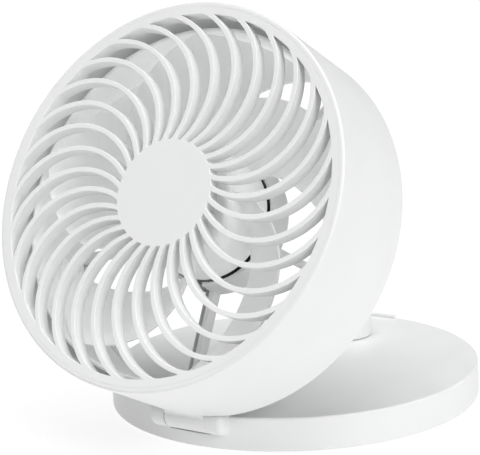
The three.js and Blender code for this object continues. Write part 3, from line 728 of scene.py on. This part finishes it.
def add_knob():
    """A fluted knob with a crowned top and a pointer groove."""
    bottom = BASE["top"] + FIT
    top = bottom + KNOB["height"]
    radius = KNOB["radius"]
    y = KNOB["y"]
    profile = rounded([
        (0, bottom, 0),
        (radius, bottom, 0.4),
        (radius, top - KNOB["crown"], 1.3),
        (radius * KNOB["shoulder"], top, 6),
        (0, top, 0),
    ], closed=False, steps=8)

    def fluted(r, z, degrees):
        if r < radius - FLUTES["band"] or z > top - FLUTES["below_top"]:
            return r
        wave = math.cos(math.radians(degrees * FLUTES["count"]))
        return r - FLUTES["half_depth"] * (1 + wave)

    body = shifted(turned(profile, FLUTES["count"] * FLUTES["steps"], fluted), 0, y)
    pointer = capped(POINTER["width"], POINTER["length"], (0, y + POINTER["out"]),
                     top - POINTER["depth"], top + PAST, POINTER["corner"], "z")
    socket = shifted(rod(KNOB["shaft"] + FIT, bottom - PAST, top - KNOB["cap"]), 0, y)
    piece("fan_speed_knob", body, "knob", SHELL, ["speed_knob"], cuts=[pointer, socket])


# ------------------------------------------------------------------------ head


def head_piece(name, shape, material, nodes, joins=(), cuts=(), body="head"):
    """A piece made in the head's own frame and stood on the hinge."""
    return piece(name, shape, body, material, nodes, joins, cuts, HEAD_PLACE)


def knuckle_relief():
    """What is cut from the head so that it clears the fixed knuckles."""
    reach = KNUCKLE["outer"] + 2 * FIT
    return along_x(rod(HINGE["relief"], -reach, reach, MEDIUM), HINGE["y"], HINGE_Z)


def head_barrel():
    """The moving knuckle of the hinge, with the side play taken up on the right."""
    left = -KNUCKLE["middle"]
    right = KNUCKLE["inner"] - SEAM
    profile = rounded([(0, left, 0), (HINGE["barrel"], left, 0.25),
                       (HINGE["barrel"], right, HINGE["edge"]), (0, right, 0)],
                      closed=False)
    return along_x(turned(profile, MEDIUM), HINGE["y"], HINGE_Z)


def barrel_web():
    """The web that carries the moving knuckle on the drum's wall."""
    low, high = HINGE_Z - WEB["half_height"], HINGE_Z + WEB["half_height"]
    outline = rounded([(WEB["outer"], low, 0), (WEB["outer"], high, 1.5),
                       (WEB["knee"], WEB["top"], 1.2), (WEB["inner"], WEB["top"], 0),
                       (WEB["inner"], low, 0)])
    reach = KNUCKLE["middle"] - WEB["set_in"]
    return extruded(outline, -reach, reach, "x")


def add_housing():
    """The drum. Its knuckle and web are joined after the cuts, which would reach them."""
    radius = HEAD["radius"] - HEAD["inset"]
    ledge = FACE - GRILLE["depth"] - FIT
    under = ledge - LEDGE["thickness"]
    wall = turned(rounded([
        (INNER, 0, 0.3),
        (radius, 0, 0.8),
        (radius, FACE, HEAD["edge"]),
        (INNER, FACE, SEAM),
        (INNER, ledge, 0),
        (LEDGE["inner"], ledge, 0.3),
        (LEDGE["inner"], under, 0.3),
        (INNER, under - LEDGE["slope"], 0.3),
    ]))
    half = LATCH["half_width"] + LATCH["gap"]
    latch_room = rounded_box(-half, half, DUCT["inner"], radius + PAST, -PAST,
                             LATCH["height"] + FIT, 0.6)
    pillar = rounded_box(PILLAR["inner"], INNER + SINK, -PILLAR["half_width"],
                         PILLAR["half_width"], PILLAR["bottom"], PILLAR["top"], 0.6)
    drum = head_piece("drum_wall", wall, SHELL, ["outer_housing"],
                      joins=[spun(pillar, angle) for angle in CORNER_ANGLES],
                      cuts=[knuckle_relief(), latch_room])
    combine(drum, [head_barrel(), barrel_web()], HEAD_PLACE, "UNION")
    smooth(drum)


def add_duct():
    """The sleeve round the blades, its front edge rounded."""
    low = DUCT["bottom"]
    body = turned(rounded([
        (DUCT["inner"], low, 0.2),
        (INNER - FIT, low, 0),
        (INNER - FIT, low + DUCT["flange"], 0),
        (DUCT["outer"], low + DUCT["flange"], 0),
        (DUCT["outer"], DUCT["front"], 0.7),
        (DUCT["inner"], DUCT["front"], 0.7),
    ]))
    head_piece("blade_duct", body, INSIDE, ["duct_sleeve", "duct_flange"])


def rib_side(radius, distance, turn):
    """Where one side of a rib is at this distance from the fan's axis. Both sides are
    arcs about the same centre, and the angle comes from the law of cosines."""
    offset = math.hypot(RIB_ARC["x"], RIB_ARC["y"])
    bearing = math.atan2(RIB_ARC["y"], RIB_ARC["x"])
    cosine = (distance**2 - offset**2 - radius**2) / (2 * offset * radius)
    x, y = polar(radius, math.degrees(bearing - math.acos(cosine)))
    point = Vector((RIB_ARC["x"] + x, RIB_ARC["y"] + y))
    return Matrix.Rotation(math.radians(turn), 2) @ point


def about_axis(start, end, steps=10):
    """An arc about the fan's axis between two points the same distance from it."""
    first = math.atan2(start.y, start.x)
    turn = start.angle_signed(end)
    return [Vector(polar(start.length, math.degrees(first - turn * k / steps)))
            for k in range(steps + 1)]


def shortened(line, first, last, apart=0.02):
    """A line of points with the given lengths taken off its two ends. Points less than
    apart from the new ends are dropped."""
    places = [0]
    for a, b in zip(line, line[1:]):
        places.append(places[-1] + (b - a).length)

    def at(place):
        k = next(i for i in range(1, len(places)) if places[i] >= place)
        share = (place - places[k - 1]) / (places[k] - places[k - 1])
        return line[k - 1].lerp(line[k], share)

    end = places[-1] - last
    kept = [point for point, place in zip(line, places)
            if first + apart < place < end - apart]
    return [at(first), *kept, at(end)]


def opening_outline(steps=40, bend=8):
    """The opening between a rib and the next one, counter-clockwise. Where the ribs meet
    the rim it has one wide and one tight corner."""
    half = GRILLE["rib_width"] / 2
    hub, opening = GRILLE["hub"], GRILLE["opening"]
    distances = [hub + (opening - hub) * k / steps for k in range(steps + 1)]
    near = [rib_side(RIB_ARC["radius"] - half, d, 0) for d in distances]
    far = [rib_side(RIB_ARC["radius"] + half, d, 360 / GRILLE["ribs"])
           for d in reversed(distances)]
    sides = [near, about_axis(near[-1], far[0]), far, about_axis(far[-1], near[0])]
    reach = OPENING_CORNERS
    parts = [shortened(side, reach[i - 1], reach[i]) for i, side in enumerate(sides)]
    outline = []
    for i, part in enumerate(parts):
        corner = sides[i][-1]
        after = parts[(i + 1) % len(parts)][0]
        outline += part
        for k in range(1, bend):
            t = k / bend
            outline.append(part[-1].lerp(corner, t).lerp(corner.lerp(after, t), t))
    return outline


def grown(outline, amount):
    """A counter-clockwise outline pushed outwards by a small amount."""
    result = []
    for i, point in enumerate(outline):
        along = outline[(i + 1) % len(outline)] - outline[i - 1]
        result.append(point + Vector((along.y, -along.x)).normalized() * amount)
    return result


def grille_opening():
    """What is cut from the plate between two ribs. It widens a little at the front and
    the back, which leaves the ribs with flat fronts and finely rounded edges."""
    outline = opening_outline()
    edge, draft, steps = RIB_EDGE["round"], RIB_EDGE["draft"], RIB_EDGE["steps"]
    back = FACE - GRILLE["depth"]
    curve = []
    for k in range(steps + 1):
        angle = math.pi / 2 * k / steps
        curve.append((edge * (1 - math.sin(angle)), edge * (1 - math.cos(angle))))
    levels = [(back - PAST, draft + edge)]
    levels += [(back + inset, draft + growth) for inset, growth in reversed(curve)]
    levels += [(FACE - inset, growth) for inset, growth in curve]
    levels.append((FACE + PAST, edge))
    return swept([[(x, y, z) for x, y in grown(outline, growth)] for z, growth in levels])


def add_grille():
    """The front plate with an opening cut between each rib and the next."""
    back = FACE - GRILLE["depth"]
    radius = INNER - SEAM
    plate = turned(rounded([(0, back, 0), (radius, back, 0.2), (radius, FACE, SEAM),
                            (0, FACE, 0)], closed=False))
    one = grille_opening()
    count = GRILLE["ribs"]
    openings = merged(*[spun(one, i * 360 / count) for i in range(count)])
    grille = head_piece("spiral_grille", plate, SHELL, ["front_grille"], cuts=[openings])
    smooth(grille, 18)


def recesses(size, radius, angles, start):
    """Round recesses for the heads of a ring of screws."""
    one = rod(size["radius"], start, size["top"])
    return [shifted(one, *polar(radius, angle)) for angle in angles]


def add_rear_ring():
    """The ring that holds the spokes' feet, with its four screws sunk in."""
    flange = turned(rounded([(FLANGE["inner"], 0, 0.5), (INNER - FIT, 0, 0.3),
                             (INNER - FIT, FLANGE["top"], 0.2),
                             (FLANGE["inner"], FLANGE["top"], 0.3)]))
    screw_recesses = recesses(REAR_RECESS, PILLAR["radius"], CORNER_ANGLES, -PAST)
    head_piece("rear_flange", flange, SHELL, ["rear_ring"],
               cuts=[knuckle_relief(), *foot_notches(), *screw_recesses])


def add_motor_mount():
    """The motor's cup and its spokes. A wide shallow groove rings the cup's rear face."""
    bottom = CUP["bottom"]
    inner, outer, depth = CUP_GROOVE["inner"], CUP_GROOVE["outer"], CUP_GROOVE["depth"]
    cup = turned(rounded([
        (0, bottom, 0),
        (inner, bottom, 0.3),
        (inner + depth, bottom + depth, 0.3),
        (outer - depth, bottom + depth, 0.3),
        (outer, bottom, 0.3),
        (CUP["rear"], bottom, 1.2),
        (CUP["front"], CUP["top"], 0.4),
        (CUP["front"] - CUP["wall"], CUP["top"], 0.4),
        (CUP["rear"] - CUP["wall"], FLOOR, 0.6),
        (0, FLOOR, 0),
    ], closed=False), MEDIUM * 2)
    screw_recesses = recesses(MOTOR_RECESS, MOTOR_SCREWS["radius"], MOTOR_SCREWS["angles"], 0)
    lead_room = rounded_box(LEAD_SPOKE[0] - FIT, LEAD_WALL, LEAD_ROOM["outer"],
                            LEAD_ROOM["inner"], FLOOR, CUP["top"] + PAST, 0.3)
    head_piece("motor_cup", cup, SHELL, ["motor_mount"],
               joins=[shape for i in range(SPOKES["count"]) for shape in spoke(i)],
               cuts=[lead_room, *screw_recesses])


def spoke_sides(i):
    """Where the two sides of spoke i are. The motor lead lies along the first spoke."""
    return PLAIN_SPOKE if i else LEAD_SPOKE


def foot_notches():
    """The notches in the rear ring that the feet of the spokes lie in."""
    notches = []
    for i in range(SPOKES["count"]):
        left, right = spoke_sides(i)
        notch = rounded_box(FLANGE["inner"] - PAST, SPOKES["foot_end"] + FIT, left - FIT,
                            right + FIT, CUP["bottom"] - FIT, FLANGE["top"] + PAST, 0.4)
        notches.append(spun(notch, SPOKES["first"] + i * 360 / SPOKES["count"]))
    return notches


def spoke(i):
    """The bar and the thin foot of spoke i, made along +X and then turned."""
    low, high = CUP["bottom"], SPOKES["top"]
    start, end = CUP["front"] - SPOKES["sunk"], SPOKES["end"]
    left, right = spoke_sides(i)
    if i:
        corners = [(left, low, 0.5), (right, low, 0.5), (right, high, 1.0), (left, high, 1.0)]
    else:
        corners = [(left, low, 0.5), (right, low, 0.5), (right, high, 0.6),
                   (LEAD_WALL, high, 0.4), (LEAD_WALL, FLOOR, 0.3), (left, FLOOR, 0.3)]
    bar = extruded(rounded(corners, steps=4), start, end, "x")
    foot = rounded_box(left, right, low, FLANGE["top"], end - SPOKES["foot_sunk"],
                       SPOKES["foot_end"], 0.3, along="x")
    turn = SPOKES["first"] + i * 360 / SPOKES["count"]
    return [spun(bar, turn), spun(foot, turn)]


def add_motor_lead():
    """Twin flex lying in the channel of the wide spoke."""
    wire = CABLE["wire"]
    z = FLOOR + FIT + wire
    wires = []
    for x in (-wire, wire):
        outline = [(x + polar(wire, a)[0], z + polar(wire, a)[1]) for a in range(0, 360, 15)]
        wires.append(extruded(outline, -CABLE["outer"], -CABLE["inner"], "y"))
    bridge = capped(CABLE["bridge_width"], CABLE["bridge_height"], (0, z), -CABLE["outer"],
                    -CABLE["inner"], 0.1, "y")
    head_piece("motor_lead", wires[0], LEAD, ["motor_cable"], joins=[wires[1], bridge])


def screw_shape(size):
    """A screw standing on its head, which tapers to the shank."""
    z = size["bottom"]
    top = z + size["head_height"]
    end = top + size["length"]
    profile = rounded([(0, z, 0), (size["head"], z, 0.25),
                       (size["head"], z + size["head_height"] * 0.6, 0.05),
                       (size["shank"], top, 0), (size["shank"], end - size["shank"], 0),
                       (0, end, 0)], closed=False, steps=4)
    return turned(profile, SMALL)


def add_screws(name, size, radius, angles, node):
    """A ring of screws with a cross cut into each head."""
    arm = size["head"] * CROSS["arm"]
    slot = size["head"] * CROSS["slot"]
    low = size["bottom"] - PAST
    high = size["bottom"] + size["head_height"] * CROSS["depth"]
    cross = [rounded_box(-arm, arm, -slot, slot, low, high, 0.05),
             rounded_box(-slot, slot, -arm, arm, low, high, 0.05)]
    for i, angle in enumerate(angles):
        x, y = polar(radius, angle)
        head_piece(f"{name}_{i + 1}", shifted(screw_shape(size), x, y), STEEL,
                   [f"{node}_{i + 1}"], cuts=[shifted(bar, x, y) for bar in cross])


# ----------------------------------------------------------------------- wheel


def blade_point(chord, s, side):
    """A point of the blade. chord runs from the front edge to the rear edge, s from
    inside the hub's wall to the tip, and side is 1 on the front face and -1 on the rear.
    The blade's shape follows from its share of the way from the hub to the tip."""
    radius = BLADES["start"] + (BLADES["tip"] - BLADES["start"]) * s
    share = (radius - BLADES["root"]) / (BLADES["tip"] - BLADES["root"])
    sweep = SWEEP["steady"] * share + SWEEP["towards_tip"] * share**3
    span = (SPAN["root"] + SPAN["growth"] * share
            + SPAN["bulge"] * math.sin(math.pi * share))
    rear = REAR_EDGE["root"] + REAR_EDGE["rise"] * share
    drop = 1 - (1 - chord)**CAMBER
    middle = BLADES["front"] - (BLADES["front"] - rear) * drop
    nearest = min(chord, 1 - chord, 1 - s, BLADE_EDGE) / BLADE_EDGE
    half = BLADES["thickness"] / 2 * math.sqrt(max(0, 1 - (1 - nearest)**2))
    root = max(0, 1 - s / BLADE_FILLET["share"])
    thick = half * (1 + BLADE_FILLET["swell"] * root**2)
    x, y = polar(radius, BLADES["phase"] - sweep - span * chord)
    return x, y, middle + side * thick


def eased(count, bend=4):
    """Values from 0 to 1 that crowd together within BLADE_EDGE of both ends."""
    rim = BLADE_EDGE
    edge = [rim * (1 - math.cos(math.pi / 2 * k / bend)) for k in range(bend)]
    inner = [rim + (1 - 2 * rim) * k / count for k in range(count + 1)]
    return edge + inner + [1 - value for value in reversed(edge)]


def blade(chord_steps=40, share_steps=30):
    """A closed blade: a front and a rear face that share their edge points."""
    chords = eased(chord_steps)
    tip = 1 - BLADE_EDGE
    shares = [k / share_steps * tip for k in range(share_steps + 1)]
    shares += [value for value in eased(1) if value > tip]
    points = []
    index = {}
    for side in (1, -1):
        for i, chord in enumerate(chords):
            for j, s in enumerate(shares):
                edge = i in (0, len(chords) - 1) or j == len(shares) - 1
                if side < 0 and edge:
                    index[side, i, j] = index[1, i, j]
                    continue
                index[side, i, j] = len(points)
                points.append(blade_point(chord, s, side))
    faces = []
    for side in (1, -1):
        for i in range(len(chords) - 1):
            for j in range(len(shares) - 1):
                corners = [index[side, i, j], index[side, i + 1, j],
                           index[side, i + 1, j + 1], index[side, i, j + 1]]
                faces.append(corners)
    last = len(chords) - 1
    faces.append([index[1, i, 0] for i in range(last + 1)]
                 + [index[-1, i, 0] for i in range(last - 1, 0, -1)])
    return points, faces


def add_wheel():
    """The wheel as one moulding: a cap with a boss for the shaft, and its blades."""
    hub, wall, edge = WHEEL["hub"], WHEEL["wall"], WHEEL["edge"]
    front, rear = WHEEL["front"], WHEEL["rear"]
    under = front - WHEEL["roof"]
    bore_end = front - BOSS["cap"]
    cap = turned(rounded([
        (0, front, 0),
        (hub, front, edge),
        (hub, rear, 0.3),
        (hub - wall, rear, 0.3),
        (hub - wall, under, 0.8),
        (BOSS["radius"], under, 0.5),
        (BOSS["radius"], BOSS["bottom"], 0.3),
        (BOSS["bore"], BOSS["bottom"], 0.2),
        (BOSS["bore"], bore_end, 0),
        (0, bore_end, 0),
    ], closed=False), MEDIUM * 2)
    one = blade()
    pitch = 360 / BLADES["count"]
    blades = [spun(one, i * pitch) for i in range(BLADES["count"])]
    nodes = ["wheel_hub"] + [f"blade_{i + 1}" for i in range(BLADES["count"])]
    head_piece("fan_wheel", cap, INSIDE, nodes, joins=blades, body="wheel")


# ----------------------------------------------------------- camera and studio


def add_camera():
    """The camera, turned round the fan by azimuth and elevation and rolled a little."""
    azimuth = math.radians(CAMERA["azimuth"])
    elevation = math.radians(CAMERA["elevation"])
    back = Vector((math.sin(azimuth) * math.cos(elevation),
                   -math.cos(azimuth) * math.cos(elevation), math.sin(elevation)))
    camera = bpy.data.objects.new("camera", bpy.data.cameras.new("camera"))
    camera.data.lens = CAMERA["lens"]
    camera.data.sensor_width = 36
    camera.data.clip_start = 0.01
    camera.rotation_mode = "QUATERNION"
    camera.location = Vector(CAMERA["target"]) + back * CAMERA["distance"]
    aim = (-back).to_track_quat("-Z", "Y").to_matrix().to_4x4()
    roll = Matrix.Rotation(math.radians(CAMERA["roll"]), 4, "Z")
    camera.rotation_quaternion = (aim @ roll).to_quaternion()
    bpy.context.scene.collection.objects.link(camera)
    bpy.context.scene.camera = camera


def add_floor():
    """A wide round table top."""
    top = turned([(0, 0), (STUDIO["floor_radius"], 0),
                  (STUDIO["floor_radius"], -STUDIO["floor_depth"]),
                  (0, -STUDIO["floor_depth"])], steps=128)
    floor = smooth(build("floor", top, BASE_PLACE))
    floor.data.materials.append(studio_floor())


def add_light(name, direction, spread, strength):
    """A soft light from far away. direction points from the fan to the light."""
    data = bpy.data.lights.new(name, "SUN")
    data.angle = math.radians(spread)
    data.energy = strength
    light = bpy.data.objects.new(name, data)
    light.rotation_mode = "QUATERNION"
    light.rotation_quaternion = Vector(direction).to_track_quat("Z", "Y")
    bpy.context.scene.collection.objects.link(light)


def add_studio():
    """Two soft lights and a dim world."""
    add_light("key", **KEY_LIGHT)
    add_light("top", **TOP_LIGHT)
    world = bpy.data.worlds.new("studio")
    world.use_nodes = True
    background = world.node_tree.nodes["Background"]
    background.inputs["Color"].default_value = WHITE
    background.inputs["Strength"].default_value = STUDIO["world"]
    bpy.context.scene.world = world
    bpy.context.scene.view_settings.view_transform = "Standard"


# -------------------------------------------------------------------- assembly

add_camera()
add_floor()
add_studio()
finish_cad_nodes()
add_base()
add_bottom()
add_socket()
add_charge_light()
add_knob()
add_housing()
add_duct()
add_grille()
add_rear_ring()
add_motor_mount()
add_motor_lead()
add_screws("case_screw", REAR_SCREW, PILLAR["radius"], CORNER_ANGLES, "rear_screw")
add_screws("cup_screw", MOTOR_SCREW, MOTOR_SCREWS["radius"], MOTOR_SCREWS["angles"],
           "motor_screw")
add_wheel()
